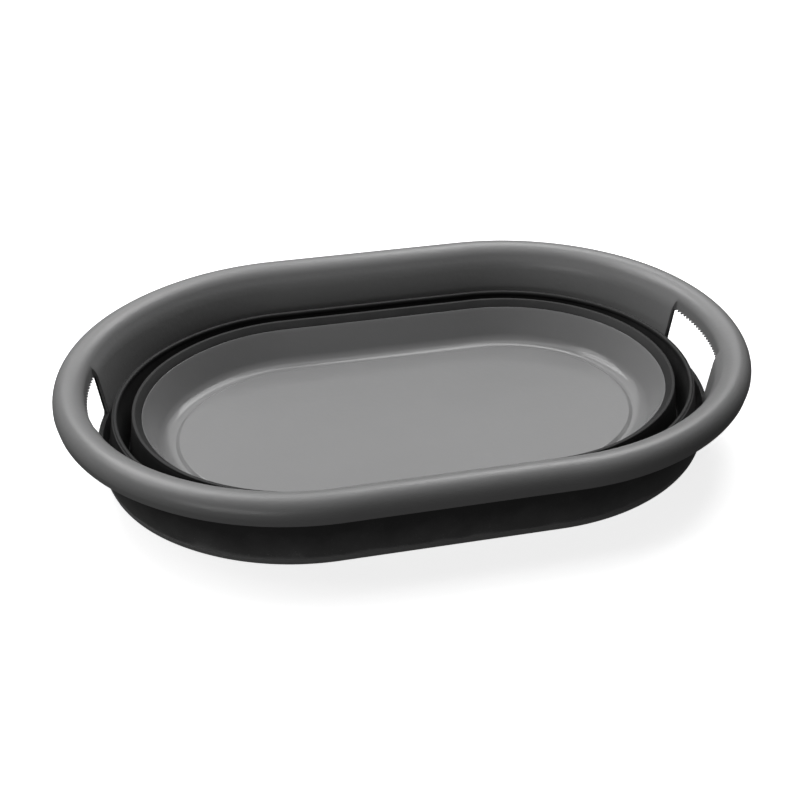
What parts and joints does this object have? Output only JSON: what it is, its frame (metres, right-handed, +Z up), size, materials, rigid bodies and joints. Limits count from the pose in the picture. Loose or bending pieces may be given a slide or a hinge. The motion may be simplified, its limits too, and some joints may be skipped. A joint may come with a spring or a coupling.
{
  "type": "collapsible foot basin",
  "caption": "Oval foot basin that folds flat: rolled rim with bow handles, black folding wall, coved base tray.",
  "frame": {"origin": "centre of the oval in plan, on the floor that the tray stands on", "axes": "+Z up; +X along the length, through both handles; +Y across the width"},
  "size_m": [0.5898, 0.39, 0.085],
  "materials": {
    "rim_plastic": "grey moulded polypropylene, satin gloss",
    "grip_plastic": "grey moulded polypropylene, matte",
    "soft_wall": "black thermoplastic rubber, satin",
    "tray_plastic": "grey moulded polypropylene, satin gloss"
  },
  "bodies": {
    "base": {"base_tray": "tray_plastic", "tray_collar": "soft_wall", "lower_fold": "soft_wall"},
    "middle": {"middle_ring": "soft_wall", "upper_fold": "soft_wall"},
    "rim": {"rim_frame": "rim_plastic", "right_grip": "grip_plastic", "left_grip": "grip_plastic", "outer_skirt": "soft_wall"}
  },
  "joints": [
    {"name": "lower_pop", "type": "slide", "parent": "base", "child": "middle", "axis": [0, 0, 1], "range_m": [0, 0.072], "deforming": ["lower_fold"]},
    {"name": "upper_pop", "type": "slide", "parent": "middle", "child": "rim", "axis": [0, 0, 1], "range_m": [0, 0.072], "deforming": ["upper_fold"]}
  ]
}
